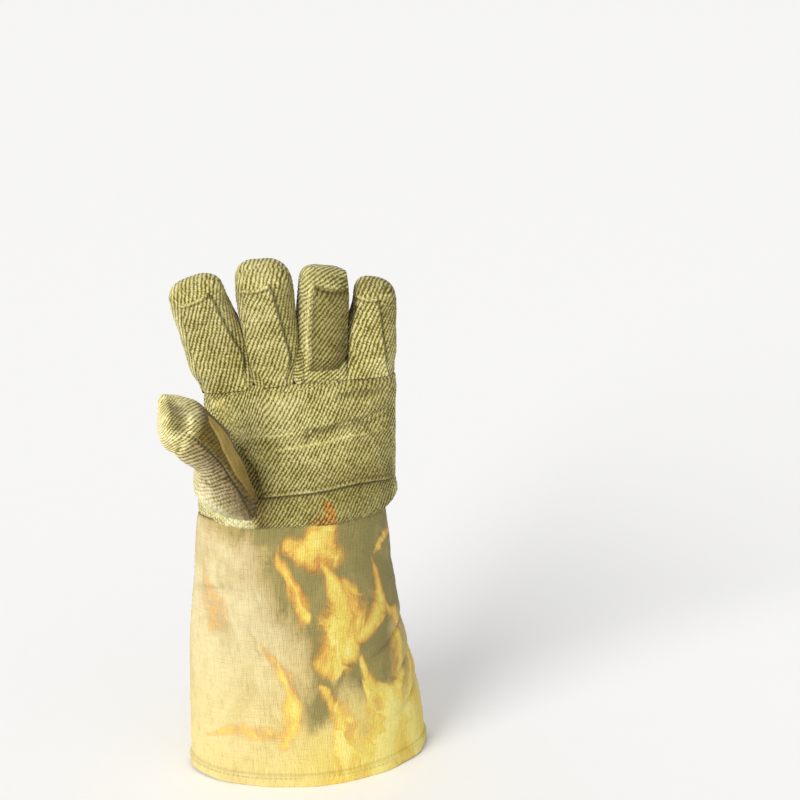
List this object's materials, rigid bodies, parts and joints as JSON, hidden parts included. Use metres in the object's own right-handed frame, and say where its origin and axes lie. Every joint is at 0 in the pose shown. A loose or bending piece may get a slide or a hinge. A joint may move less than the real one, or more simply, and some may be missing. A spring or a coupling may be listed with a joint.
{
  "type": "foundry glove",
  "caption": "Heat-resistant foundry gauntlet for the left hand, standing on its flared cuff: hollow twill hand with a palm patch and finger strips, and a flame-patterned cuff.",
  "frame": {"origin": "on the floor under the cuff, at the middle of the glove's bounding box", "axes": "+Z from the mouth of the cuff to the fingertips; the palm faces -Y and the thumb points to -X"},
  "size_m": [0.1968, 0.1352, 0.3904],
  "materials": {
    "hand_twill": "heavy aramid twill, faded yellow",
    "palm_twill": "a second layer of the same twill, more worn",
    "cuff_cloth": "plain-woven cloth with a printed flame pattern"
  },
  "bodies": {
    "root": {"cuff": "cuff_cloth", "cuff_hem": "cuff_cloth", "hand": "hand_twill", "palm_patch": "palm_twill", "thumb": "hand_twill", "thumb_patch": "palm_twill", "index_finger": "hand_twill", "index_strip": "palm_twill", "middle_finger": "hand_twill", "middle_strip": "palm_twill", "ring_finger": "hand_twill", "ring_strip": "palm_twill", "little_finger": "hand_twill", "little_strip": "palm_twill"}
  },
  "joints": []
}
